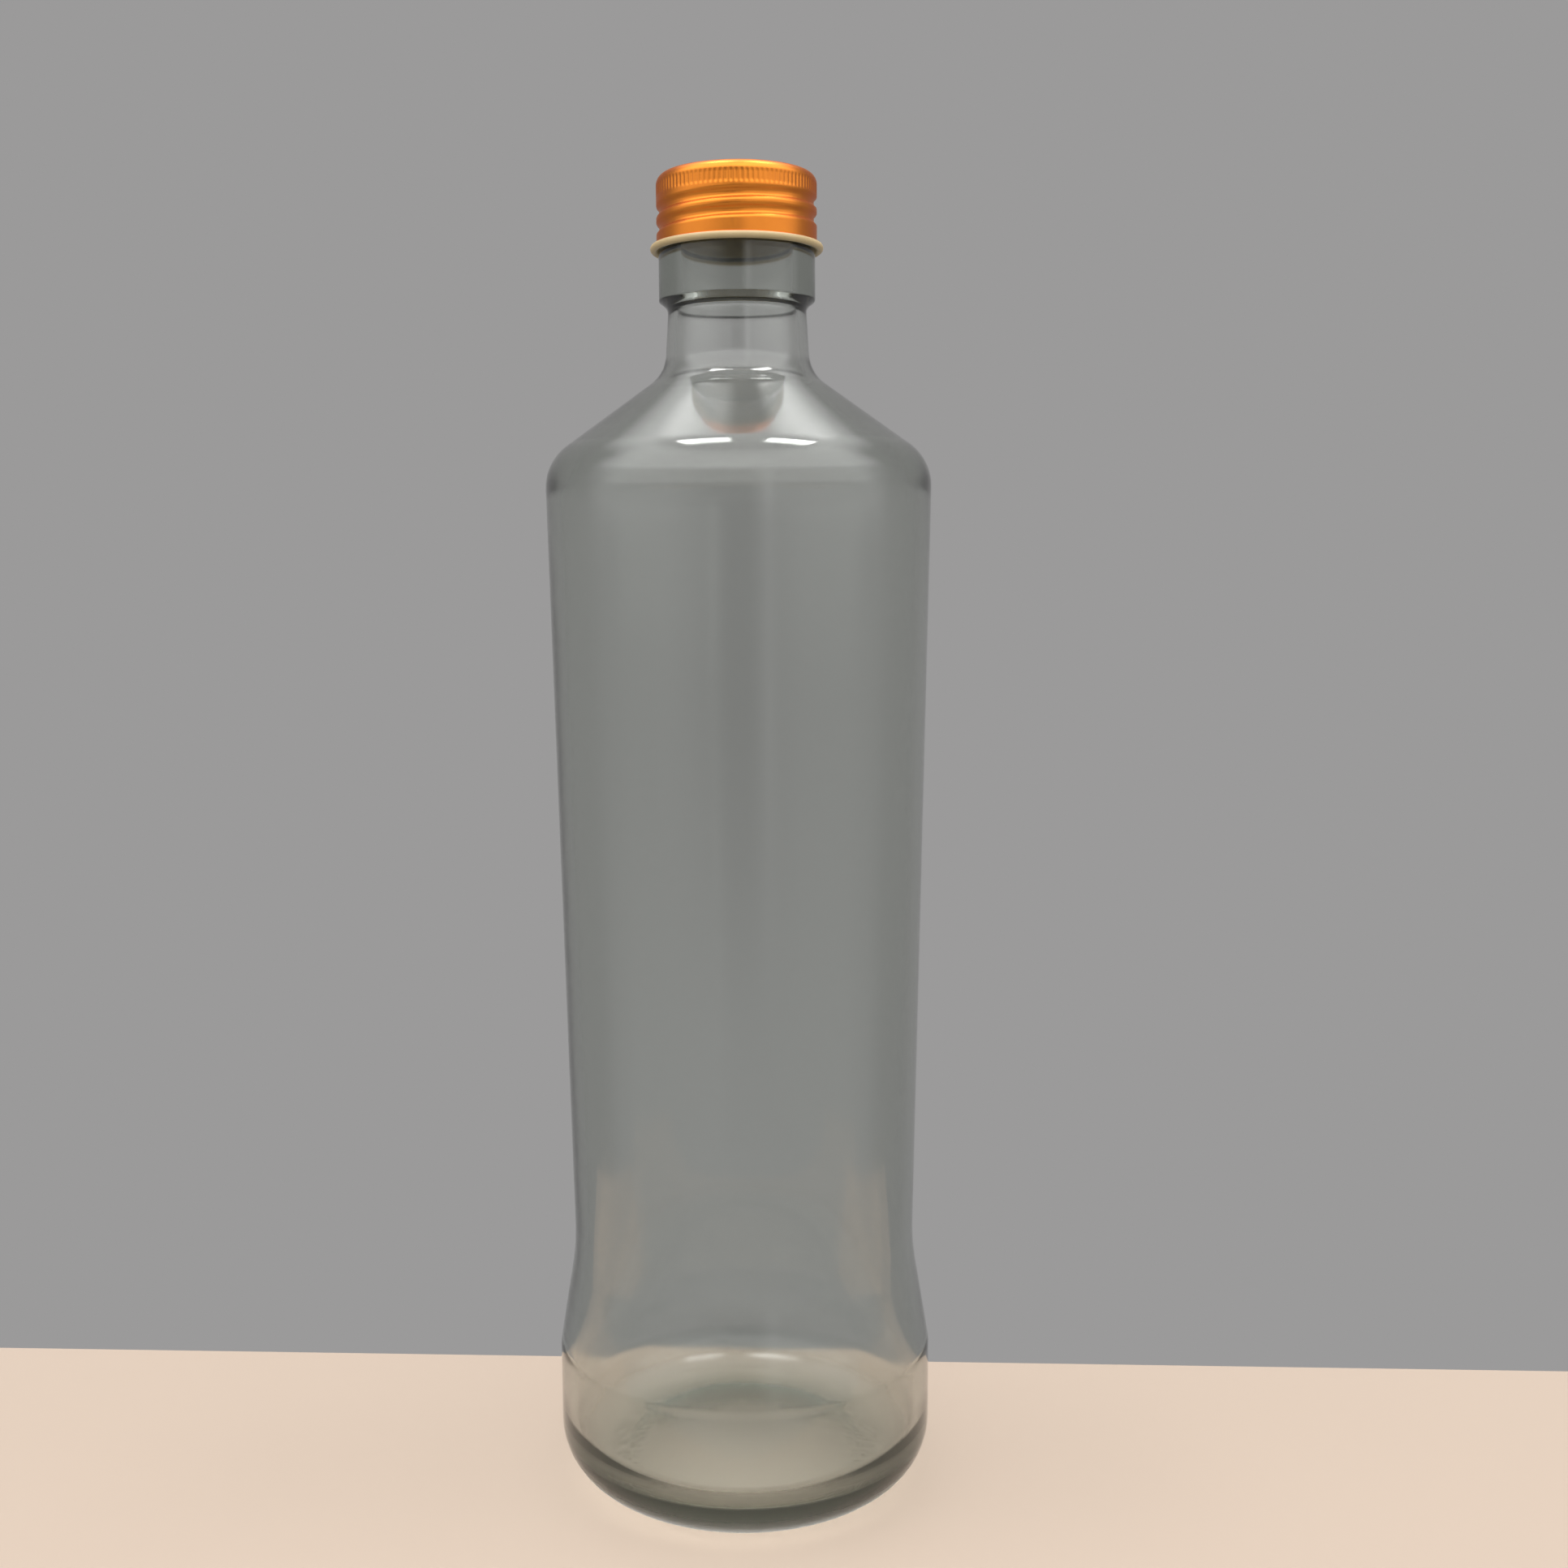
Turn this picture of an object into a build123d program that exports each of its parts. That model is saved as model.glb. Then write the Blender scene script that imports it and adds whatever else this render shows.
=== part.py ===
"""Glass water bottle with a rolled aluminium screw cap and its sealing liner, in millimetres.

The origin is the centre of the base, on the surface that the bottle stands on, and +Z is the axis.
The cap is modelled screwed home, with its liner pressed on the rim of the glass.
"""

import os
from math import cos, degrees, radians, sin, tan

from build123d import *

# ---- driving dimensions: the glass ------------------------------------------------------------
HEEL_R = 38.6  # the straight heel, the widest part
HEEL_CORNER = 11.7  # round of the heel into the base
HEEL_TOP = 27.9  # height at which the heel turns in to the waist
HEEL_TOP_ROUND = 8.7
WAIST_DEPTH = 3.5  # how far the narrowest part of the body lies inside the heel
WAIST_RISE = 21.1  # from the top of the heel up to the waist
WAIST_ROUND = 43.0
SHOULDER_SET_IN = 0.2  # the shoulder is this much narrower than the heel
BODY_RISE = 160.2  # from the waist up to the shoulder
SHOULDER_ROUND = 10.0
INNER_SHOULDER_ROUND = 11.0  # softer than the outside less a wall, as blown glass is
SHOULDER_SLOPE = 35.7  # degrees above the horizontal
NECK_TAPER = 0.8  # the foot of the neck is this much wider than its top
NECK_LENGTH = 12.55  # from the foot of the neck up to the ring
NECK_ROUND = 7.6
RING_STEP = 1.8  # how far the plain ring stands out from the top of the neck
RING_BEVEL = 1.4  # height of the slope under the ring
RING_TOP_BEVEL = 0.8
RING_EDGE_ROUND = 0.5
UNDER_RING_ROUND = 2.0  # hollow corner between the neck and the slope under the ring
FINISH_HEIGHT = 23.75  # from the underside of the ring up to the rim
FINISH_WALL = 3.1  # glass between the mouth and the wall that carries the thread
LIP_ROUND = 1.0
BODY_WALL = 3.0
NECK_WALL = 1.8
MOUTH_FLARE_ROUND = 1.0  # rounds of the slope by which the mouth opens into the neck
BASE_THICKNESS = 5.6  # of glass, over the middle of the base
INNER_HEEL_ROUND = 8.0
FLOOR_RISE = 2.6  # how far the inside floor rises to its middle
FOOT_WIDTH = 2.4  # of the ring that the bottle stands on
PUSH_UP_RISE = 3.4  # of the hollow inside that ring

# ---- driving dimensions: the cap and its liner ------------------------------------------------
CAP_R = 15.75  # outside of the skirt: a closure of 31.5 mm
CAP_HEIGHT = 14.8  # top to the bottom of the curled rim
SHEET = 0.25  # aluminium sheet
CAP_TOP_ROUND = 1.9  # outer radius of the top edge
CURL_R = 0.75  # outer radius of the curled rim's section
CURL_TURN = 300  # degrees that the edge is rolled through
KNURLS = 100
KNURL_HEIGHT = 2.6
KNURL_DROP = 1.8  # from the top of the cap down to the knurls
KNURL_DEPTH = 0.1
KNURL_ROUND = 0.45
LINER_THICKNESS = 1.4

# ---- driving dimensions: the thread that the glass and the cap share --------------------------
PITCH = 3.175
THREAD_START = 3.75  # bottom of the cap up to the start of its thread
START_ANGLE = 90  # degrees about the axis, at the back
CAP_EXTRA_TURNS = 0.18  # the cap's thread is this much longer than the glass's
GLASS_THREAD_DEPTH = 1.1
GLASS_THREAD_ROOT = 2.2  # width where it meets the wall
GLASS_THREAD_CREST = 0.9
CAP_THREAD_DEPTH = 0.6  # rolled inwards from the skirt
CAP_THREAD_ROOT = 2.4  # width where the groove leaves the skirt
CAP_THREAD_CREST = 0.8
ROOT_SINK = 0.12  # a thread's root goes this far into its wall, so that they are one piece

# ---- clearances -------------------------------------------------------------------------------
SEAT_GAP = 0.05  # liner to the rim under it, and to the top of the cap over it
LINER_GAP = 0.15  # edge of the liner to the round of the cap's top
RING_GAP = 0.35  # side of the ring to the cap's skirt
THREAD_GAP = 0.3  # crest of the glass thread to the cap's skirt

# ---- derived sizes ----------------------------------------------------------------------------
slope = radians(SHOULDER_SLOPE)
skirt_r = CAP_R - SHEET  # inside of the skirt
sheet_mid_r = CAP_R - SHEET / 2
curl_mid_r = CURL_R - SHEET / 2
ring_r = CAP_R - RING_GAP
neck_top_r = ring_r - RING_STEP
neck_r = neck_top_r + NECK_TAPER
finish_r = skirt_r - THREAD_GAP - GLASS_THREAD_DEPTH  # wall that the thread stands on
bore_r = finish_r - FINISH_WALL
waist_r = HEEL_R - WAIST_DEPTH
waist_z = HEEL_TOP + WAIST_RISE
shoulder_r = HEEL_R - SHOULDER_SET_IN
shoulder_z = waist_z + BODY_RISE
neck_z = shoulder_z + (shoulder_r - neck_r) * tan(slope)
ring_z = neck_z + NECK_LENGTH
rim_z = ring_z + FINISH_HEIGHT
liner_z = rim_z + SEAT_GAP
cap_top = liner_z + LINER_THICKNESS + SEAT_GAP + SHEET
cap_bottom = cap_top - CAP_HEIGHT
ring_top = cap_bottom + CURL_R / 2  # just inside the flare of the curled rim
push_up_r = HEEL_R - HEEL_CORNER - FOOT_WIDTH
push_up_sphere = (push_up_r**2 + PUSH_UP_RISE**2) / (2 * PUSH_UP_RISE)
floor_middle = PUSH_UP_RISE + BASE_THICKNESS
cap_thread_z = cap_bottom + THREAD_START
glass_thread_z = cap_thread_z + PITCH / 2  # between the turns of the cap's thread
glass_turns = (rim_z - LIP_ROUND - GLASS_THREAD_ROOT / 2 - glass_thread_z) / PITCH
cap_turns = glass_turns + CAP_EXTRA_TURNS
end_wall = degrees(SHEET / CAP_R)  # sheet that closes each end of the rolled groove


def inside_slope(radius):
    """Height of the inside of the shoulder's slope, a body wall under the outside."""
    return shoulder_z + (shoulder_r - radius) * tan(slope) - BODY_WALL / cos(slope)


def start_plane(z, angle):
    """Level plane at a height, with its x axis turned to an angle about the bottle's axis."""
    turn = radians(angle)
    return Plane(origin=(0, 0, z), x_dir=(cos(turn), sin(turn), 0), z_dir=(0, 0, 1))


def section_plane(helix, angle):
    """Plane across a helix at its start, with its x axis pointing away from the bottle's axis."""
    turn = radians(angle)
    return Plane(origin=helix @ 0, x_dir=(cos(turn), sin(turn), 0), z_dir=helix % 0)


def thread_outline(depth, root, crest):
    """Corners of a thread's section, out from its wall by depth, or inwards if depth is negative."""
    sink = -ROOT_SINK if depth > 0 else ROOT_SINK
    return [
        (sink, -root / 2),
        (0, -root / 2),
        (depth, -crest / 2),
        (depth, crest / 2),
        (0, root / 2),
        (sink, root / 2),
    ]


glass_thread = thread_outline(GLASS_THREAD_DEPTH, GLASS_THREAD_ROOT, GLASS_THREAD_CREST)
rolled_thread = thread_outline(-CAP_THREAD_DEPTH, CAP_THREAD_ROOT, CAP_THREAD_CREST)

# ---- glass bottle -----------------------------------------------------------------------------
with BuildPart() as glass_bottle:
    with BuildSketch(Plane.XZ):
        with BuildLine():
            outside = FilletPolyline(
                (0, 0),
                (HEEL_R, 0),
                (HEEL_R, HEEL_TOP),
                (waist_r, waist_z),
                (shoulder_r, shoulder_z),
                (neck_r, neck_z),
                (neck_top_r, ring_z),
                (ring_r, ring_z + RING_BEVEL),
                (ring_r, ring_top),
                (finish_r, ring_top + RING_TOP_BEVEL),
                (finish_r, rim_z),
                (0, rim_z),
                radius=[
                    HEEL_CORNER,
                    HEEL_TOP_ROUND,
                    WAIST_ROUND,
                    SHOULDER_ROUND,
                    NECK_ROUND,
                    UNDER_RING_ROUND,
                    RING_EDGE_ROUND,
                    RING_EDGE_ROUND,
                    RING_EDGE_ROUND,
                    LIP_ROUND,
                ],
            )
            Line(outside @ 1, (0, 0))
        make_face()
    revolve(axis=Axis.Z)

    # the space for the water: most of its rounds lie a wall's thickness inside those outside
    with BuildSketch(Plane.XZ):
        with BuildLine():
            hollow = FilletPolyline(
                (0, floor_middle),
                (HEEL_R - BODY_WALL, floor_middle - FLOOR_RISE),
                (HEEL_R - BODY_WALL, HEEL_TOP),
                (waist_r - BODY_WALL, waist_z),
                (shoulder_r - BODY_WALL, inside_slope(shoulder_r - BODY_WALL)),
                (neck_r - NECK_WALL, inside_slope(neck_r - NECK_WALL)),
                (neck_top_r - NECK_WALL, ring_z),
                (bore_r, ring_z + RING_BEVEL),
                (bore_r, rim_z),
                radius=[
                    INNER_HEEL_ROUND,
                    HEEL_TOP_ROUND - BODY_WALL,
                    WAIST_ROUND + BODY_WALL,
                    INNER_SHOULDER_ROUND,
                    NECK_ROUND + NECK_WALL,
                    MOUTH_FLARE_ROUND,
                    MOUTH_FLARE_ROUND,
                ],
            )
            Polyline(hollow @ 1, (0, rim_z), hollow @ 0)
        make_face()
    revolve(axis=Axis.Z, mode=Mode.SUBTRACT)

    with Locations((0, 0, PUSH_UP_RISE - push_up_sphere)):
        Sphere(push_up_sphere, mode=Mode.SUBTRACT)

    with BuildLine(start_plane(glass_thread_z, START_ANGLE)):
        glass_helix = Helix(PITCH, PITCH * glass_turns, finish_r)
    with BuildSketch(section_plane(glass_helix, START_ANGLE)):
        with BuildLine():
            Polyline(glass_thread, close=True)
        make_face()
    sweep(path=glass_helix, is_frenet=True)
glass_bottle.part.label = "glass_bottle"

# ---- cap shell --------------------------------------------------------------------------------
with BuildPart() as cap_shell:
    with BuildSketch(Plane.XZ):
        with BuildLine():
            sheet = FilletPolyline(
                (0, cap_top - SHEET / 2),
                (sheet_mid_r, cap_top - SHEET / 2),
                (sheet_mid_r, cap_bottom + CURL_R),
                radius=CAP_TOP_ROUND - SHEET / 2,
            )
            curl_centre = (sheet_mid_r + curl_mid_r, cap_bottom + CURL_R)
            CenterArc(curl_centre, curl_mid_r, 180, CURL_TURN)
        trace(line_width=SHEET)
    revolve(axis=Axis.Z)

    # the thread is rolled: a ridge inside, and the same shape a sheet further out, as a groove
    with BuildLine(start_plane(cap_thread_z, START_ANGLE)):
        ridge_helix = Helix(PITCH, PITCH * cap_turns, skirt_r)
    with BuildSketch(section_plane(ridge_helix, START_ANGLE)):
        with BuildLine():
            Polyline(rolled_thread, close=True)
        make_face()
    sweep(path=ridge_helix, is_frenet=True)

    groove_turns = cap_turns - 2 * end_wall / 360
    groove_angle = START_ANGLE + end_wall
    groove_z = cap_thread_z + PITCH * end_wall / 360
    with BuildLine(start_plane(groove_z, groove_angle)):
        groove_helix = Helix(PITCH, PITCH * groove_turns, CAP_R)
    with BuildSketch(section_plane(groove_helix, groove_angle)):
        with BuildLine():
            Polyline(rolled_thread, close=True)
        make_face()
    sweep(path=groove_helix, is_frenet=True, mode=Mode.SUBTRACT)

    with Locations((0, 0, cap_top - KNURL_DROP - KNURL_HEIGHT / 2)):
        with PolarLocations(CAP_R - KNURL_DEPTH + KNURL_ROUND, KNURLS):
            Cylinder(KNURL_ROUND, KNURL_HEIGHT, mode=Mode.SUBTRACT)
cap_shell.part.label = "cap_shell"

# ---- cap liner --------------------------------------------------------------------------------
with BuildPart() as cap_liner:
    with BuildSketch(Plane.XY.offset(liner_z)):
        Circle(CAP_R - CAP_TOP_ROUND - LINER_GAP)
    extrude(amount=LINER_THICKNESS)
cap_liner.part.label = "cap_liner"

# ---- files ------------------------------------------------------------------------------------
os.makedirs("parts", exist_ok=True)
export_step(glass_bottle.part, "parts/glass_bottle.step")
export_step(cap_shell.part, "parts/cap_shell.step")
export_step(cap_liner.part, "parts/cap_liner.step")
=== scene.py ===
"""Looks for the glass water bottle with a rolled aluminium screw cap.

Everything is in metres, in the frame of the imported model: the origin is the centre of the base,
+Z is the bottle's axis and the front is -Y.
"""

import math

import bpy
from mathutils import Matrix, Vector


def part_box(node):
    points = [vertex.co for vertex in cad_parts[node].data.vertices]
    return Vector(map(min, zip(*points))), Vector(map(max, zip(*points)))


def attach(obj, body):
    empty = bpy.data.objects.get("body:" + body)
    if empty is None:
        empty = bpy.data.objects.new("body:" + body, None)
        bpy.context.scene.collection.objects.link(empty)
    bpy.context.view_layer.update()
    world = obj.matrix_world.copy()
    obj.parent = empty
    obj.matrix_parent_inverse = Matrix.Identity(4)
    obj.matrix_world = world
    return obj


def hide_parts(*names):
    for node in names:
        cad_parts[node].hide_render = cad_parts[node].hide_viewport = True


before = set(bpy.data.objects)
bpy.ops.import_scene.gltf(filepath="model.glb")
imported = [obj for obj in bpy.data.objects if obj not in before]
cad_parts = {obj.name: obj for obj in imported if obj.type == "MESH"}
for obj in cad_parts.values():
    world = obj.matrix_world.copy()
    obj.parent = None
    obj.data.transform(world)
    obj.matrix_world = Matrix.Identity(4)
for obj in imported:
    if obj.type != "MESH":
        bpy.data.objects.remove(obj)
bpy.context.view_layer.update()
scene = bpy.context.scene

MM = 0.001

# ---- places and sizes, from the frame ---------------------------------------------------------
_, bottle_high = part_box("glass_bottle")
cap_low, cap_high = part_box("cap_shell")
liner_low, liner_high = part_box("cap_liner")
HEEL_R = bottle_high[0]
RIM_Z = bottle_high[2]
CAP_TOP = cap_high[2]
CAP_BOTTOM = cap_low[2]

# ---- the glass --------------------------------------------------------------------------------
HEEL_CORNER = 11.7 * MM
HEEL_TOP = 27.9 * MM
HEEL_TOP_ROUND = 8.7 * MM
WAIST_R = 35.1 * MM
WAIST_Z = 49.0 * MM
WAIST_ROUND = 43.0 * MM
SHOULDER_R = 38.4 * MM
SHOULDER_Z = 209.2 * MM
SHOULDER_ROUND = 10.0 * MM
SHOULDER_SLOPE = math.radians(35.7)
NECK_R = 14.4 * MM
NECK_TOP_R = 13.6 * MM
NECK_ROUND = 7.6 * MM
RING_R = 15.4 * MM
RING_Z = 239.0 * MM
RING_BEVEL = 1.4 * MM
RING_TOP_BEVEL = 0.8 * MM
EDGE_ROUND = 0.5 * MM
UNDER_RING_ROUND = 2.0 * MM
FINISH_R = 14.1 * MM
LIP_ROUND = 1.0 * MM
FOOT_ROUND = 1.2 * MM
PUSH_UP_R = 24.5 * MM
PUSH_UP_RISE = 3.4 * MM

# ---- the inside of the glass ------------------------------------------------------------------
BODY_WALL = 3.0 * MM
NECK_WALL = 1.8 * MM
BORE_R = 11.0 * MM
MOUTH_FLARE_ROUND = 1.0 * MM
INNER_SHOULDER_ROUND = 11.0 * MM
INNER_HEEL_ROUND = 8.0 * MM
BASE_THICKNESS = 5.6 * MM
FLOOR_RISE = 2.6 * MM

# ---- the cap ----------------------------------------------------------------------------------
CAP_R = 15.75 * MM
SHEET = 0.25 * MM
CAP_TOP_ROUND = 1.9 * MM
CURL_R = 0.75 * MM
CURL_TURN = math.radians(300)
LACQUER_EDGE_Z = CAP_BOTTOM + 1.7 * CURL_R  # gold lacquer above it, cream on the curl below it
KNURLS = 100
KNURL_HEIGHT = 2.6 * MM
KNURL_DROP = 1.8 * MM
KNURL_DEPTH = 0.1 * MM
KNURL_END = 0.4 * MM
LINER_EDGE_ROUND = 0.12 * MM

# ---- the thread that the glass and the cap share ----------------------------------------------
PITCH = 3.175 * MM
START_ANGLE = math.radians(90)
THREAD_Z = CAP_BOTTOM + 3.75 * MM
RUN_OUT_TURNS = 0.08  # over which a thread fades in and out at its ends
GLASS_THREAD_DEPTH = 1.1 * MM
GLASS_THREAD_ROOT = 2.2 * MM
GLASS_THREAD_CREST = 0.9 * MM
# the thread of the glass starts half a pitch above that of the cap and ends under the round of the lip
GLASS_TURNS = (RIM_Z - LIP_ROUND - GLASS_THREAD_ROOT / 2 - THREAD_Z) / PITCH - 0.5
CAP_THREAD_DEPTH = 0.6 * MM
CAP_THREAD_ROOT = 2.4 * MM
CAP_THREAD_CREST = 0.8 * MM
CAP_TURNS = GLASS_TURNS + 0.18

# ---- surface detail ---------------------------------------------------------------------------
FOLDS = [(3, 0.05, 0.4), (7, 0.035, 1.9), (12, 0.02, 4.1)]  # folds in a turn, depth in mm, start
FOLDS_LOW = 20 * MM
FOLDS_HIGH = 205 * MM
FOLDS_END = 30 * MM
GLASS_WAVE = 9 * MM
GLASS_WAVE_DEPTH = 0.02 * MM
MIST_LOW = 3.4 * MM
MIST_HIGH = 9 * MM
FOOT_GRAIN = 0.9 * MM
FOOT_GRAIN_DEPTH = 0.12 * MM
MARK_WIDTH = 0.3 * MM
MARK_LENGTH = 6 * MM
MARK_DEPTH = 0.008 * MM
LACQUER_CLOUD = 4 * MM
PEEL_GRAIN = 0.5 * MM
PEEL_DEPTH = 0.01 * MM
FOAM_CELL = 0.5 * MM
FOAM_DEPTH = 0.06 * MM

# ---- how finely the meshes are divided --------------------------------------------------------
GLASS_COLUMNS = 256
COLUMNS_PER_KNURL = 6
LINER_COLUMNS = 96
DOME_STEPS = 12
CURL_STEPS = 16
THREAD_GRID = 0.28 * MM
WALL_GRID = 6 * MM
TOP_GRID = 3 * MM
LINER_GRID = 2 * MM

# ---- stage, lights and camera -----------------------------------------------------------------
SLAB_FRONT = 76 * MM
SLAB_BACK = 47 * MM
SLAB_WIDE = 420 * MM
SLAB_THICK = 300 * MM
SLAB_TURN = math.radians(-2.9)
SLAB_GAP = 0.05 * MM  # keeps the shelf and the foot of the glass apart

# brightness of the room by height, from -1 straight down to 1 straight up; a colour ramp holds levels
# up to 1 only, so they go in as shares of ROOM_SCALE
ROOM_SCALE = 4.0
ROOM_LEVELS = [
    (-1.0, 0.55),
    (-0.3, 0.6),
    (-0.02, 0.6),
    (0.03, 1.15),
    (0.39, 1.5),
    (0.44, 2.6),
    (0.85, 2.6),
    (0.92, 1.4),
    (1.0, 1.4),
]

# and how much of it is left in each direction near the horizon, in degrees from the front
ROOM_SIDES = [
    (-100, 0.8),
    (-45, 0.7),
    (-28, 0.45),
    (-14, 0.2),
    (6, 0.15),
    (12, 0.5),
    (17, 1.0),
    (24, 0.6),
    (60, 0.8),
    (100, 0.85),
]

# where one part of the room turns into the next, as a start and an end of the change
CEILING_FADE = (0.4, 0.3)
FLOOR_FADE = (-0.3, -0.12)
WALL_FADE = (-0.1, 0.25)
WALL_TOP_FADE = (0.9, 0.65)

PANEL_LEFT_X = -0.36
PANEL_RIGHT_X = 0.58
PANEL_Y = 0.05
PANEL_Z = 2.0
PANEL_SIZE = (0.55, 0.35)
PANEL_WATTS = 9

CAMERA_SENSOR = 36
CAMERA_LENS = 40.21
CAMERA_SHIFT = 0.0276
CAMERA_BACK = 354.3 * MM
CAMERA_HEIGHT = 186.9 * MM
CAMERA_PITCH = math.radians(6.80)
CAMERA_ROLL = math.radians(0.426)
CAMERA_CLIP = 10 * MM


# ---- tools ------------------------------------------------------------------------------------
def rounded(corners, step=math.radians(6)):
    """An outline through corners (radius, height, round), each turned by an arc of its round."""
    points = [Vector(corners[0][:2])]
    for before, here, after in zip(corners, corners[1:], corners[2:]):
        corner = Vector(here[:2])
        back = (Vector(before[:2]) - corner).normalized()
        ahead = (Vector(after[:2]) - corner).normalized()
        half = back.angle(ahead) / 2
        turn = math.pi - 2 * half
        if here[2] == 0 or turn < 1e-4:
            points.append(corner)
            continue
        centre = corner + (back + ahead).normalized() * here[2] / math.sin(half)
        start = corner + back * here[2] / math.tan(half)
        side = math.copysign(1, back.cross(ahead))
        steps = max(2, math.ceil(turn / step))
        for i in range(steps + 1):
            points.append(centre + Matrix.Rotation(-side * turn * i / steps, 2) @ (start - centre))
    points.append(Vector(corners[-1][:2]))
    return points


def divided(points, longest):
    """The same outline with its long straight stretches cut into short ones."""
    found = [points[0]]
    for a, b in zip(points, points[1:]):
        pieces = max(1, math.ceil((b - a).length / longest(a, b)))
        found += [a.lerp(b, i / pieces) for i in range(1, pieces + 1)]
    return found


def turned(name, outline, columns):
    """A solid of revolution: its outline is drawn as a chain of points and screwed round the axis."""
    bpy.ops.object.select_all(action="DESELECT")
    bpy.ops.mesh.primitive_plane_add(size=MM)
    piece = bpy.context.object
    piece.name = piece.data.name = name
    bpy.ops.object.mode_set(mode="EDIT")
    bpy.ops.mesh.select_all(action="SELECT")
    bpy.ops.mesh.merge(type="CENTER")
    bpy.ops.transform.translate(value=(outline[0].x, 0, outline[0].y))
    for a, b in zip(outline, outline[1:]):
        step = b - a
        bpy.ops.mesh.extrude_vertices_move(TRANSFORM_OT_translate={"value": (step.x, 0, step.y)})
    bpy.ops.object.mode_set(mode="OBJECT")
    lathe = piece.modifiers.new("lathe", "SCREW")
    lathe.steps = lathe.render_steps = columns
    lathe.use_merge_vertices = True
    lathe.merge_threshold = 1e-6
    bpy.ops.object.modifier_apply(modifier=lathe.name)
    bpy.ops.object.mode_set(mode="EDIT")
    bpy.ops.mesh.select_all(action="SELECT")
    bpy.ops.mesh.remove_doubles(threshold=1e-6)
    bpy.ops.mesh.normals_make_consistent(inside=False)
    bpy.ops.object.mode_set(mode="OBJECT")
    bpy.ops.object.shade_smooth()
    return piece


def smooth(low, high, value):
    share = min(1.0, max(0.0, (value - low) / (high - low)))
    return share * share * (3 - 2 * share)


def linear(hex_colour):
    """An sRGB hex colour as the linear colour that a shader takes."""
    parts = [int(hex_colour[i : i + 2], 16) / 255 for i in (0, 2, 4)]
    return [*(p / 12.92 if p <= 0.04045 else ((p + 0.055) / 1.055) ** 2.4 for p in parts), 1]


def add(tree, kind, inputs=None, **settings):
    """Adds a node: inputs maps a socket to its value, or to the output socket that feeds it."""
    node = tree.nodes.new(kind)
    for name, value in settings.items():
        setattr(node, name, value)
    for name, value in (inputs or {}).items():
        if isinstance(value, bpy.types.NodeSocket):
            tree.links.new(value, node.inputs[name])
        else:
            node.inputs[name].default_value = value
    return node


def set_ramp(ramp, stops):
    """Gives a colour ramp grey levels at places from 0 to 1."""
    while len(ramp.elements) < len(stops):
        ramp.elements.new(0.5)
    for element, (place, level) in zip(ramp.elements, stops):
        element.position = place
        element.color = (level, level, level, 1)


def new_material(name):
    material = bpy.data.materials.new(name)
    material.use_nodes = True
    tree = material.node_tree
    return material, tree, tree.nodes["Principled BSDF"]


def mixed_colour(tree, share, low, high):
    """The output of a node that mixes two hex colours by a share from 0 to 1."""
    mix = add(tree, "ShaderNodeMix", {"A": linear(low), "B": linear(high)}, data_type="RGBA")
    tree.links.new(share, mix.inputs[0])
    return mix.outputs[2]


def bumped(tree, shader, height):
    """Gives a shader a bump from a height in metres."""
    bump = add(tree, "ShaderNodeBump", {"Strength": 1.0, "Distance": 1.0, "Height": height})
    tree.links.new(bump.outputs["Normal"], shader.inputs["Normal"])


def dress(piece, material):
    piece.data.materials.clear()
    piece.data.materials.append(material)


# ---- the thread -------------------------------------------------------------------------------
def thread_height(place, first_z, turns, root, crest):
    """How far a point of a wall lies up a thread's flank, from 0, on the wall, to 1, on the crest."""
    around = (math.atan2(place.y, place.x) - START_ANGLE) % math.tau / math.tau
    along = around + round((place.z - first_z) / PITCH - around)
    off_line = abs(place.z - first_z - along * PITCH)
    flank = 1 - smooth(crest / 2, root / 2, off_line)
    return flank * smooth(0, RUN_OUT_TURNS, along) * smooth(0, RUN_OUT_TURNS, turns - along)


def press_thread(piece, walls, depth, first_z, turns, root, crest):
    """Moves the points of some walls, given as ranges of radius and height, into a thread."""
    for vertex in piece.data.vertices:
        radius = vertex.co.xy.length
        if any(r0 <= radius <= r1 and z0 <= vertex.co.z <= z1 for r0, r1, z0, z1 in walls):
            height = thread_height(vertex.co, first_z, turns, root, crest)
            vertex.co.xy *= (radius + depth * height) / radius


def press_knurls(piece, low, high):
    """Presses upright flutes into the outside of the skirt between two heights."""
    for vertex in piece.data.vertices:
        radius = vertex.co.xy.length
        if radius > CAP_R - SHEET / 2 and low < vertex.co.z < high:
            around = math.atan2(vertex.co.y, vertex.co.x) * KNURLS
            low_end = smooth(low, low + KNURL_END, vertex.co.z)
            high_end = smooth(-high, -high + KNURL_END, -vertex.co.z)
            flute = 0.5 + 0.5 * math.cos(around)
            vertex.co.xy *= 1 - KNURL_DEPTH * low_end * high_end * flute / radius


# ---- glass bottle -----------------------------------------------------------------------------
def shoulder_at(radius):
    """Height of the shoulder's slope at a radius, on the outside of the glass."""
    return SHOULDER_Z + (SHOULDER_R - radius) * math.tan(SHOULDER_SLOPE)


def inside_shoulder_at(radius):
    """Height of the inside of the shoulder's slope, a wall's thickness under the outside."""
    return shoulder_at(radius) - BODY_WALL / math.cos(SHOULDER_SLOPE)


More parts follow.
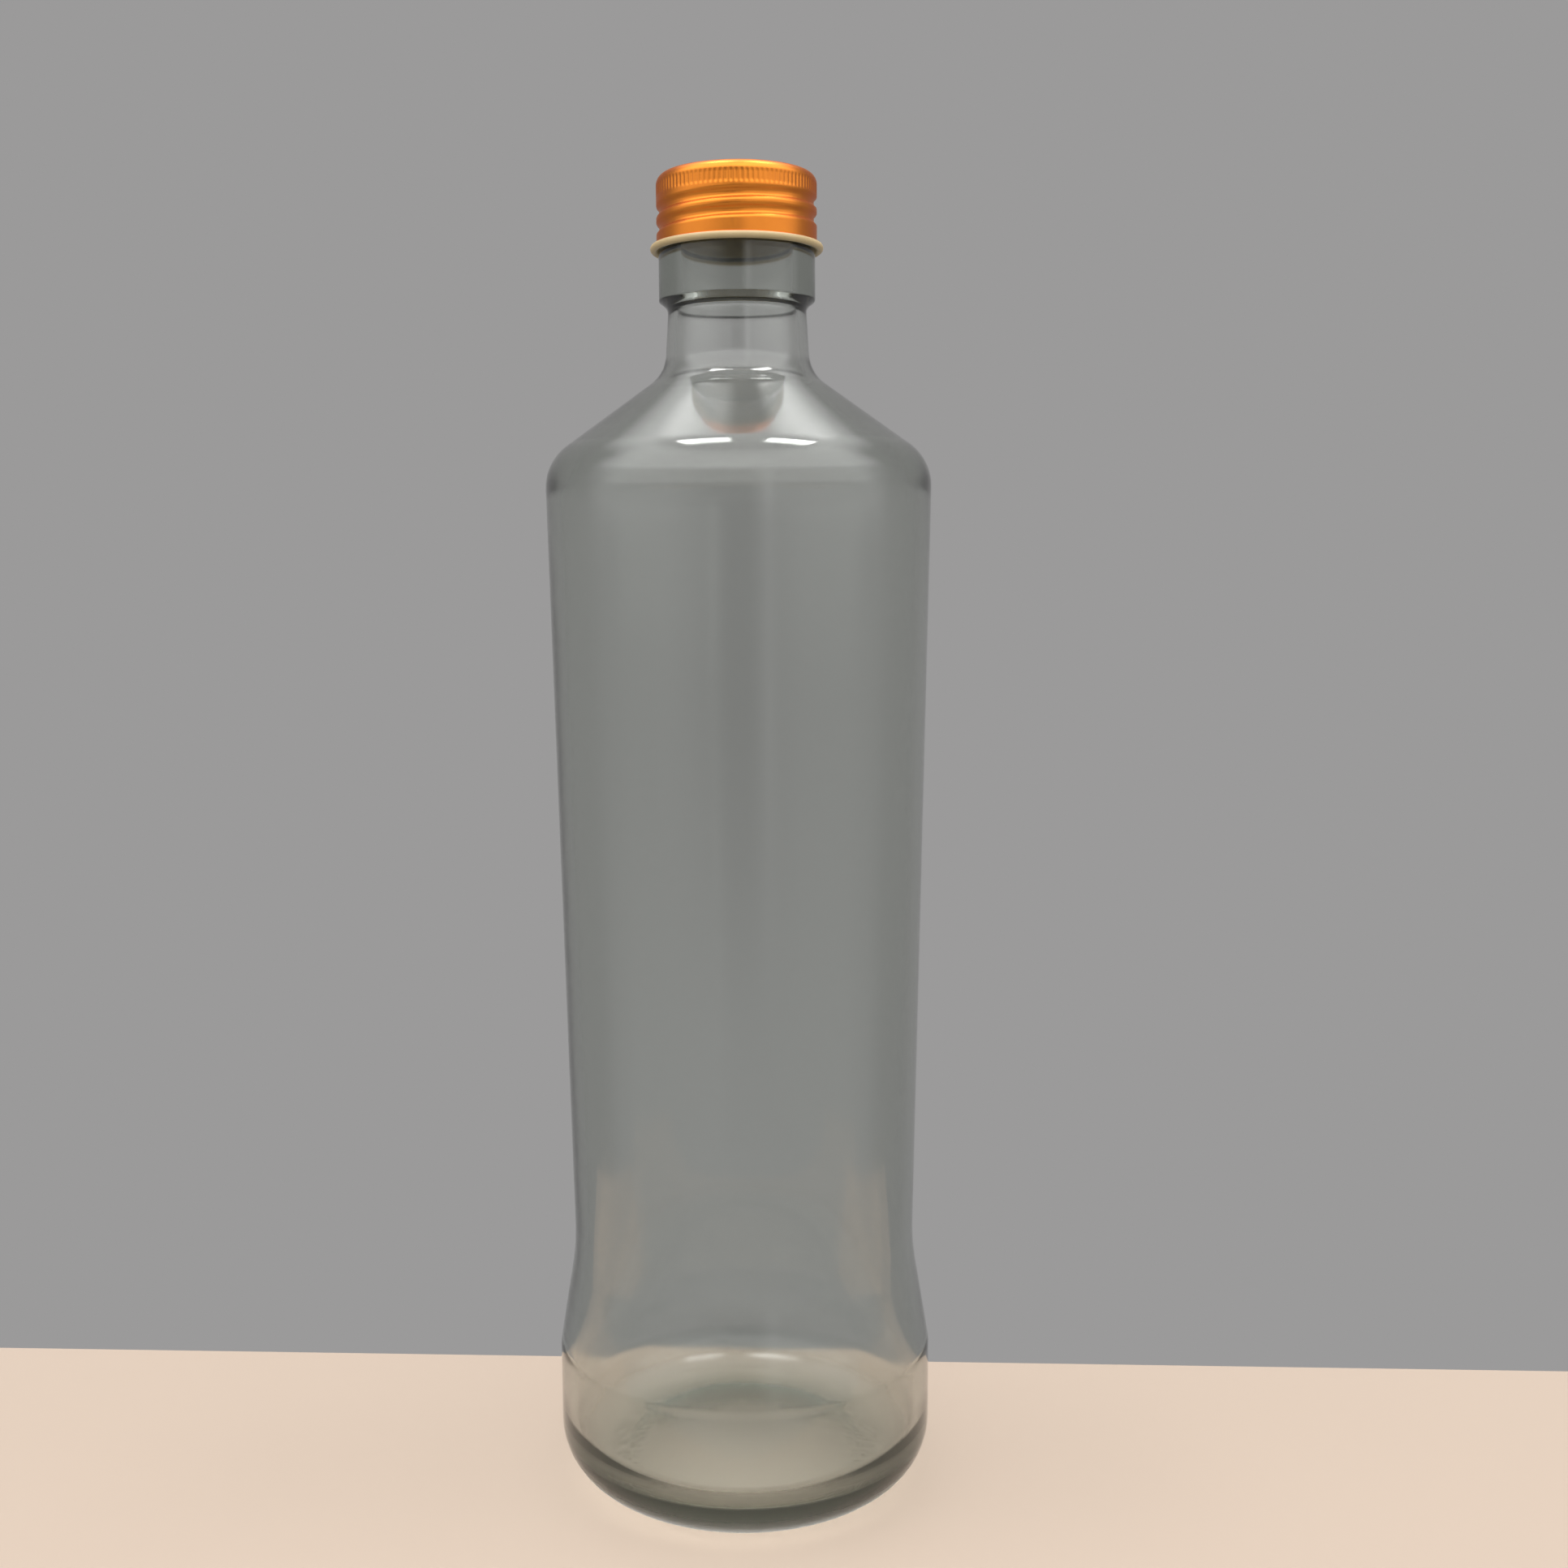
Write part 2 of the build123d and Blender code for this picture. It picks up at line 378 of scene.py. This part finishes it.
def glass_outline():
    """From the middle of the hollow under the base, up the outside and down the inside."""
    ball = (PUSH_UP_R**2 + PUSH_UP_RISE**2) / (2 * PUSH_UP_RISE)
    reach = math.asin((PUSH_UP_R - FOOT_ROUND) / ball)
    turns = [reach * i / DOME_STEPS for i in range(DOME_STEPS + 1)]
    dome = [Vector((ball * math.sin(t), PUSH_UP_RISE - ball + ball * math.cos(t))) for t in turns]
    ring_top = CAP_BOTTOM + CURL_R / 2
    floor_z = PUSH_UP_RISE + BASE_THICKNESS
    inner_neck_r = NECK_R - NECK_WALL
    inner_shoulder_r = SHOULDER_R - BODY_WALL
    inner_heel_r = HEEL_R - BODY_WALL
    sides = rounded(
        [
            (*dome[-1], 0),
            (PUSH_UP_R, 0, FOOT_ROUND),
            (HEEL_R, 0, HEEL_CORNER),
            (HEEL_R, HEEL_TOP, HEEL_TOP_ROUND),
            (WAIST_R, WAIST_Z, WAIST_ROUND),
            (SHOULDER_R, SHOULDER_Z, SHOULDER_ROUND),
            (NECK_R, shoulder_at(NECK_R), NECK_ROUND),
            (NECK_TOP_R, RING_Z, UNDER_RING_ROUND),
            (RING_R, RING_Z + RING_BEVEL, EDGE_ROUND),
            (RING_R, ring_top, EDGE_ROUND),
            (FINISH_R, ring_top + RING_TOP_BEVEL, EDGE_ROUND),
            (FINISH_R, RIM_Z, LIP_ROUND),
            (BORE_R, RIM_Z, LIP_ROUND),
            (BORE_R, RING_Z + RING_BEVEL, MOUTH_FLARE_ROUND),
            (NECK_TOP_R - NECK_WALL, RING_Z, MOUTH_FLARE_ROUND),
            (inner_neck_r, inside_shoulder_at(inner_neck_r), NECK_ROUND + NECK_WALL),
            (inner_shoulder_r, inside_shoulder_at(inner_shoulder_r), INNER_SHOULDER_ROUND),
            (WAIST_R - BODY_WALL, WAIST_Z, WAIST_ROUND + BODY_WALL),
            (inner_heel_r, HEEL_TOP, HEEL_TOP_ROUND - BODY_WALL),
            (inner_heel_r, floor_z - FLOOR_RISE, INNER_HEEL_ROUND),
            (0, floor_z, 0),
        ]
    )

    def longest(a, b):
        threaded = min(a.y, b.y) > ring_top and min(a.x, b.x) > BORE_R + MM
        return THREAD_GRID if threaded else WALL_GRID

    return divided(dome + sides[1:], longest)


def fold_inside(bottle):
    """The inside was blown, so unlike the moulded outside it waves a little, in upright folds."""
    inside = [v for v in bottle.data.vertices if v.normal.xy.dot(v.co.xy) < 0 and v.co.z > FOLDS_LOW]
    for vertex in inside:
        around = math.atan2(vertex.co.y, vertex.co.x)
        wave = sum(depth * MM * math.sin(count * around + start) for count, depth, start in FOLDS)
        low_end = smooth(FOLDS_LOW, FOLDS_LOW + FOLDS_END, vertex.co.z)
        high_end = smooth(-FOLDS_HIGH, -FOLDS_HIGH + FOLDS_END, -vertex.co.z)
        vertex.co.xy *= 1 + wave * low_end * high_end / vertex.co.xy.length


def make_bottle():
    bottle = turned("bottle", glass_outline(), GLASS_COLUMNS)
    press_thread(
        bottle,
        [(FINISH_R - SHEET, FINISH_R + SHEET, CAP_BOTTOM + CURL_R, RIM_Z)],
        GLASS_THREAD_DEPTH,
        THREAD_Z + PITCH / 2,
        GLASS_TURNS,
        GLASS_THREAD_ROOT,
        GLASS_THREAD_CREST,
    )
    fold_inside(bottle)
    dress(bottle, soda_lime_glass())
    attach(bottle, "bottle")
    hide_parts("glass_bottle")
    bottle.visible_shadow = False


# ---- cap --------------------------------------------------------------------------------------
def sheet_outline(centre_line):
    """Both sides of a sheet that follows a line, out along one face and back along the other."""
    faces = ([], [])
    for i, point in enumerate(centre_line):
        before, after = centre_line[max(i - 1, 0)], centre_line[min(i + 1, len(centre_line) - 1)]
        ahead = (after - before).normalized()
        across = Vector((-ahead.y, ahead.x)) * SHEET / 2
        faces[0].append(point + across)
        faces[1].append(point - across)
    for face in faces:
        face[0].x = 0
    return faces[0] + faces[1][::-1]


def cap_outline():
    middle_r = CAP_R - SHEET / 2
    curl_r = CURL_R - SHEET / 2
    top_z = CAP_TOP - SHEET / 2
    curl_z = CAP_BOTTOM + CURL_R
    skirt = rounded([(0, top_z, 0), (middle_r, top_z, CAP_TOP_ROUND - SHEET / 2), (middle_r, curl_z, 0)])
    turns = [CURL_TURN * i / CURL_STEPS for i in range(1, CURL_STEPS + 1)]
    curl = [Vector((middle_r + curl_r * (1 - math.cos(t)), curl_z - curl_r * math.sin(t))) for t in turns]

    def longest(a, b):
        upright = abs(a.x - b.x) < 0.01 * MM
        return THREAD_GRID if upright else TOP_GRID

    return sheet_outline(divided(skirt, longest) + curl)


def make_cap():
    cap = turned("cap", cap_outline(), KNURLS * COLUMNS_PER_KNURL)
    press_thread(
        cap,
        [(CAP_R - 1.1 * SHEET, CAP_R + 0.1 * SHEET, CAP_BOTTOM + 2 * CURL_R, CAP_TOP - CAP_TOP_ROUND)],
        -CAP_THREAD_DEPTH,
        THREAD_Z,
        CAP_TURNS,
        CAP_THREAD_ROOT,
        CAP_THREAD_CREST,
    )
    knurl_top = CAP_TOP - KNURL_DROP
    press_knurls(cap, knurl_top - KNURL_HEIGHT, knurl_top)
    dress(cap, gold_lacquered_aluminium())
    cap.data.materials.append(cream_lacquer())
    for face in cap.data.polygons:
        faces_out = face.normal.xy.dot(face.center.xy.normalized()) > 0.05
        on_top = face.center.z > CAP_TOP - SHEET / 2
        gold = (faces_out or on_top) and face.center.z > LACQUER_EDGE_Z
        face.material_index = 0 if gold else 1
    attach(cap, "cap")
    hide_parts("cap_shell")


def make_liner():
    radius = liner_high[0]
    corners = [
        (0, liner_low[2], 0),
        (radius, liner_low[2], LINER_EDGE_ROUND),
        (radius, liner_high[2], LINER_EDGE_ROUND),
        (0, liner_high[2], 0),
    ]
    outline = divided(rounded(corners, math.radians(30)), lambda a, b: LINER_GRID)
    liner = turned("liner", outline, LINER_COLUMNS)
    dress(liner, foamed_polyethylene())
    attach(liner, "liner")
    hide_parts("cap_liner")


# ---- materials --------------------------------------------------------------------------------
def soda_lime_glass():
    """Blown soda-lime glass: clear but a little uneven, with a grey-green absorption, and a base that is
    misty where the mould was rough. The absorption is partly the glass's own faint green, which the thick
    base shows most, and partly painted shade: it is set darker to stand in for the shadow that the bottle
    would throw on the shelf under it and on the wall behind it, which the scene does not cast."""
    material, tree, shader = new_material("soda_lime_glass")
    shader.inputs["Base Color"].default_value = linear("FFFFFF")
    shader.inputs["Transmission Weight"].default_value = 1.0
    shader.inputs["IOR"].default_value = 1.52
    place = add(tree, "ShaderNodeTexCoord").outputs["Object"]
    height = add(tree, "ShaderNodeSeparateXYZ", {"Vector": place}).outputs["Z"]
    misty = add(
        tree,
        "ShaderNodeMapRange",
        {"Value": height, "From Min": MIST_LOW, "From Max": MIST_HIGH, "To Min": 0.45, "To Max": 0.08},
    )
    tree.links.new(misty.outputs["Result"], shader.inputs["Roughness"])
    waves = add(tree, "ShaderNodeTexNoise", {"Vector": place, "Scale": 1 / GLASS_WAVE, "Detail": 1.0})
    grains = add(tree, "ShaderNodeTexVoronoi", {"Vector": place, "Scale": 1 / FOOT_GRAIN})
    foot = add(
        tree,
        "ShaderNodeMapRange",
        {"Value": height, "From Min": FOOT_ROUND, "From Max": 0.0, "To Max": FOOT_GRAIN_DEPTH},
    )
    wave_height = add(
        tree, "ShaderNodeMath", {0: waves.outputs["Fac"], 1: GLASS_WAVE_DEPTH}, operation="MULTIPLY"
    )
    grain_height = add(
        tree,
        "ShaderNodeMath",
        {0: grains.outputs["Distance"], 1: foot.outputs["Result"], 2: wave_height.outputs[0]},
        operation="MULTIPLY_ADD",
    )
    bumped(tree, shader, grain_height.outputs[0])
    # partly painted shade: this absorption is darker than the glass's own, standing in for the shadow the
    # bottle would cast on the shelf under it and the wall behind it
    body = add(tree, "ShaderNodeVolumeAbsorption", {"Color": linear("7C8C73"), "Density": 90.0})
    tree.links.new(body.outputs[0], tree.nodes["Material Output"].inputs["Volume"])
    return material


def gold_lacquered_aluminium():
    """Aluminium sheet under a clear orange-gold lacquer: a satin metal with rolling marks across the
    top, draw marks up the skirt, and a lacquer that is a little deeper in some places."""
    material, tree, shader = new_material("gold_lacquered_aluminium")
    shader.inputs["Metallic"].default_value = 1.0
    shader.inputs["Coat Weight"].default_value = 0.7
    shader.inputs["Coat Roughness"].default_value = 0.35
    shader.inputs["Specular Tint"].default_value = linear("F0A850")
    place = add(tree, "ShaderNodeTexCoord").outputs["Object"]
    axes = add(tree, "ShaderNodeSeparateXYZ", {"Vector": place})
    # marks are drawn at twice their real width, which would be too fine to show
    around = add(
        tree, "ShaderNodeMath", {0: axes.outputs["Y"], 1: axes.outputs["X"]}, operation="ARCTAN2"
    )
    on_skirt = add(tree, "ShaderNodeCombineXYZ", {"X": around.outputs[0], "Y": axes.outputs["Z"]})
    skirt_place = add(
        tree,
        "ShaderNodeMapping",
        {"Vector": on_skirt.outputs["Vector"], "Scale": (CAP_R / MARK_WIDTH, 1 / MARK_LENGTH, 1)},
    )
    top_place = add(
        tree, "ShaderNodeMapping", {"Vector": place, "Scale": (1 / MARK_LENGTH, 1 / MARK_WIDTH, 0)}
    )
    skirt_marks = add(
        tree, "ShaderNodeTexNoise", {"Vector": skirt_place.outputs["Vector"], "Scale": 1.0, "Detail": 3.0}
    )
    top_marks = add(
        tree, "ShaderNodeTexNoise", {"Vector": top_place.outputs["Vector"], "Scale": 1.0, "Detail": 3.0}
    )
    is_top = add(
        tree,
        "ShaderNodeMapRange",
        {"Value": axes.outputs["Z"], "From Min": CAP_TOP - CAP_TOP_ROUND, "From Max": CAP_TOP - SHEET},
    )
    marks = add(
        tree,
        "ShaderNodeMix",
        {0: is_top.outputs["Result"], 2: skirt_marks.outputs["Fac"], 3: top_marks.outputs["Fac"]},
    ).outputs[0]
    satin = add(tree, "ShaderNodeMapRange", {"Value": marks, "To Min": 0.26, "To Max": 0.44})
    tree.links.new(satin.outputs["Result"], shader.inputs["Roughness"])
    clouds = add(tree, "ShaderNodeTexNoise", {"Vector": place, "Scale": 1 / LACQUER_CLOUD, "Detail": 2.0})
    colour = mixed_colour(tree, clouds.outputs["Fac"], "D67608", "E68610")
    tree.links.new(colour, shader.inputs["Base Color"])
    mark_height = add(tree, "ShaderNodeMath", {0: marks, 1: MARK_DEPTH}, operation="MULTIPLY")
    bumped(tree, shader, mark_height.outputs[0])
    return material


def cream_lacquer():
    """Cream lacquer rolled on the inner face of the sheet, with a soft orange-peel shine. The curled
    rim shows it."""
    material, tree, shader = new_material("cream_lacquer")
    place = add(tree, "ShaderNodeTexCoord").outputs["Object"]
    clouds = add(tree, "ShaderNodeTexNoise", {"Vector": place, "Scale": 1 / LACQUER_CLOUD, "Detail": 2.0})
    colour = mixed_colour(tree, clouds.outputs["Fac"], "B49B6D", "C8B085")
    tree.links.new(colour, shader.inputs["Base Color"])
    peel = add(tree, "ShaderNodeTexNoise", {"Vector": place, "Scale": 1 / PEEL_GRAIN, "Detail": 1.0})
    shine = add(tree, "ShaderNodeMapRange", {"Value": peel.outputs["Fac"], "To Min": 0.35, "To Max": 0.5})
    tree.links.new(shine.outputs["Result"], shader.inputs["Roughness"])
    peel_height = add(tree, "ShaderNodeMath", {0: peel.outputs["Fac"], 1: PEEL_DEPTH}, operation="MULTIPLY")
    bumped(tree, shader, peel_height.outputs[0])
    return material


def foamed_polyethylene():
    """Foamed polyethylene, punched from sheet: a matt cream white, pitted by its burst cells, with painted
    shade that darkens the colour at the bottom of each pit.
    """
    material, tree, shader = new_material("foamed_polyethylene")
    place = add(tree, "ShaderNodeTexCoord").outputs["Object"]
    cells = add(tree, "ShaderNodeTexVoronoi", {"Vector": place, "Scale": 1 / FOAM_CELL})
    # painted shade: the colour is darker at the bottom of each pit and lighter at its rim
    colour = mixed_colour(tree, cells.outputs["Distance"], "D2BE92", "EBDAB4")
    tree.links.new(colour, shader.inputs["Base Color"])
    matt = add(
        tree, "ShaderNodeMapRange", {"Value": cells.outputs["Distance"], "To Min": 0.8, "To Max": 0.6}
    )
    tree.links.new(matt.outputs["Result"], shader.inputs["Roughness"])
    pits = add(tree, "ShaderNodeMath", {0: cells.outputs["Distance"], 1: FOAM_DEPTH}, operation="MULTIPLY")
    bumped(tree, shader, pits.outputs[0])
    return material


# ---- stage, lights and camera -----------------------------------------------------------------
def make_stage():
    """The end of a pale shelf, turned a little, that the bottle stands on."""
    bpy.ops.object.select_all(action="DESELECT")
    middle = (0, (SLAB_BACK - SLAB_FRONT) / 2, -SLAB_THICK / 2 - SLAB_GAP)
    bpy.ops.mesh.primitive_cube_add(size=1, location=middle)
    slab = bpy.context.object
    slab.name = "stage_slab"
    slab.scale = (SLAB_WIDE, SLAB_FRONT + SLAB_BACK, SLAB_THICK)
    bpy.ops.object.transform_apply(location=True, rotation=True, scale=True)
    slab.rotation_euler.z = SLAB_TURN
    bpy.ops.object.transform_apply(location=True, rotation=True, scale=True)
    material, _, shader = new_material("pale_laminate")
    shader.inputs["Base Color"].default_value = linear("AE9D8E")
    shader.inputs["Roughness"].default_value = 0.5
    dress(slab, material)


def fade(tree, value, start, end, **settings):
    """The output of a node that goes from 0 to 1 as a value goes from start to end."""
    inputs = {"Value": value, "From Min": start, "From Max": end}
    return add(tree, "ShaderNodeMapRange", inputs, **settings).outputs["Result"]


def product(tree, first, second):
    return add(tree, "ShaderNodeMath", {0: first, 1: second}, operation="MULTIPLY").outputs[0]


def room_light(tree, direction, height):
    """Light of the room by height, dimmed near the horizon where people and furniture stand."""
    room = add(tree, "ShaderNodeValToRGB", {"Fac": fade(tree, height, -1.0, 1.0)})
    set_ramp(room.color_ramp, [((z + 1) / 2, level / ROOM_SCALE) for z, level in ROOM_LEVELS])
    # the gradient runs once round the horizon, and starts and ends behind the bottle
    turn_to_back = (0, 0, math.radians(90))
    from_back = add(tree, "ShaderNodeMapping", {"Vector": direction, "Rotation": turn_to_back})
    around = add(
        tree, "ShaderNodeTexGradient", {"Vector": from_back.outputs["Vector"]}, gradient_type="RADIAL"
    )
    sides = add(tree, "ShaderNodeValToRGB", {"Fac": around.outputs["Fac"]})
    set_ramp(sides.color_ramp, [(0.5 + turn / 360, level) for turn, level in ROOM_SIDES])
    near_horizon = product(tree, fade(tree, height, *CEILING_FADE), fade(tree, height, *FLOOR_FADE))
    dimmed = add(tree, "ShaderNodeMix", data_type="RGBA", blend_type="MULTIPLY")
    tree.links.new(near_horizon, dimmed.inputs["Factor"])
    tree.links.new(room.outputs["Color"], dimmed.inputs["A"])
    tree.links.new(sides.outputs["Color"], dimmed.inputs["B"])
    return dimmed.outputs[2]


def make_world():
    """Even grey behind the bottle, a bright ceiling overhead and a darker room in front."""
    world = bpy.data.worlds.new("studio")
    scene.world = world
    world.use_nodes = True
    tree = world.node_tree
    direction = add(tree, "ShaderNodeTexCoord").outputs["Generated"]
    axes = add(tree, "ShaderNodeSeparateXYZ", {"Vector": direction})
    height = axes.outputs["Z"]
    room = add(tree, "ShaderNodeBackground", {"Strength": ROOM_SCALE})
    tree.links.new(room_light(tree, direction, height), room.inputs["Color"])
    wall = add(tree, "ShaderNodeBackground", {"Color": linear("9B9A9A"), "Strength": 1.0})
    behind = fade(tree, axes.outputs["Y"], *WALL_FADE, interpolation_type="SMOOTHSTEP")
    is_wall = product(tree, behind, fade(tree, height, *WALL_TOP_FADE))
    both = add(tree, "ShaderNodeMixShader", {0: is_wall, 1: room.outputs[0], 2: wall.outputs[0]})
    tree.links.new(both.outputs[0], tree.nodes["World Output"].inputs["Surface"])


def make_lights():
    """Two ceiling panels, one to each side of the bottle."""
    for name, x in (("panel_left", PANEL_LEFT_X), ("panel_right", PANEL_RIGHT_X)):
        light = bpy.data.lights.new(name, "AREA")
        light.shape = "RECTANGLE"
        light.size, light.size_y = PANEL_SIZE
        light.energy = PANEL_WATTS
        lamp = bpy.data.objects.new(name, light)
        lamp.location = (x, PANEL_Y, PANEL_Z)
        scene.collection.objects.link(lamp)


def make_camera():
    camera = bpy.data.cameras.new("camera")
    camera.lens = CAMERA_LENS
    camera.sensor_width = CAMERA_SENSOR
    camera.shift_x = CAMERA_SHIFT
    camera.clip_start = CAMERA_CLIP
    holder = bpy.data.objects.new("camera", camera)
    look = Matrix.Rotation(math.radians(90) - CAMERA_PITCH, 4, "X")
    roll = Matrix.Rotation(-CAMERA_ROLL, 4, "Z")
    holder.matrix_world = Matrix.Translation((0, -CAMERA_BACK, CAMERA_HEIGHT)) @ look @ roll
    scene.collection.objects.link(holder)
    scene.camera = holder


# ---- the scene --------------------------------------------------------------------------------
scene.view_settings.view_transform = "Standard"
make_stage()
make_world()
make_lights()
make_camera()
make_bottle()
make_cap()
make_liner()
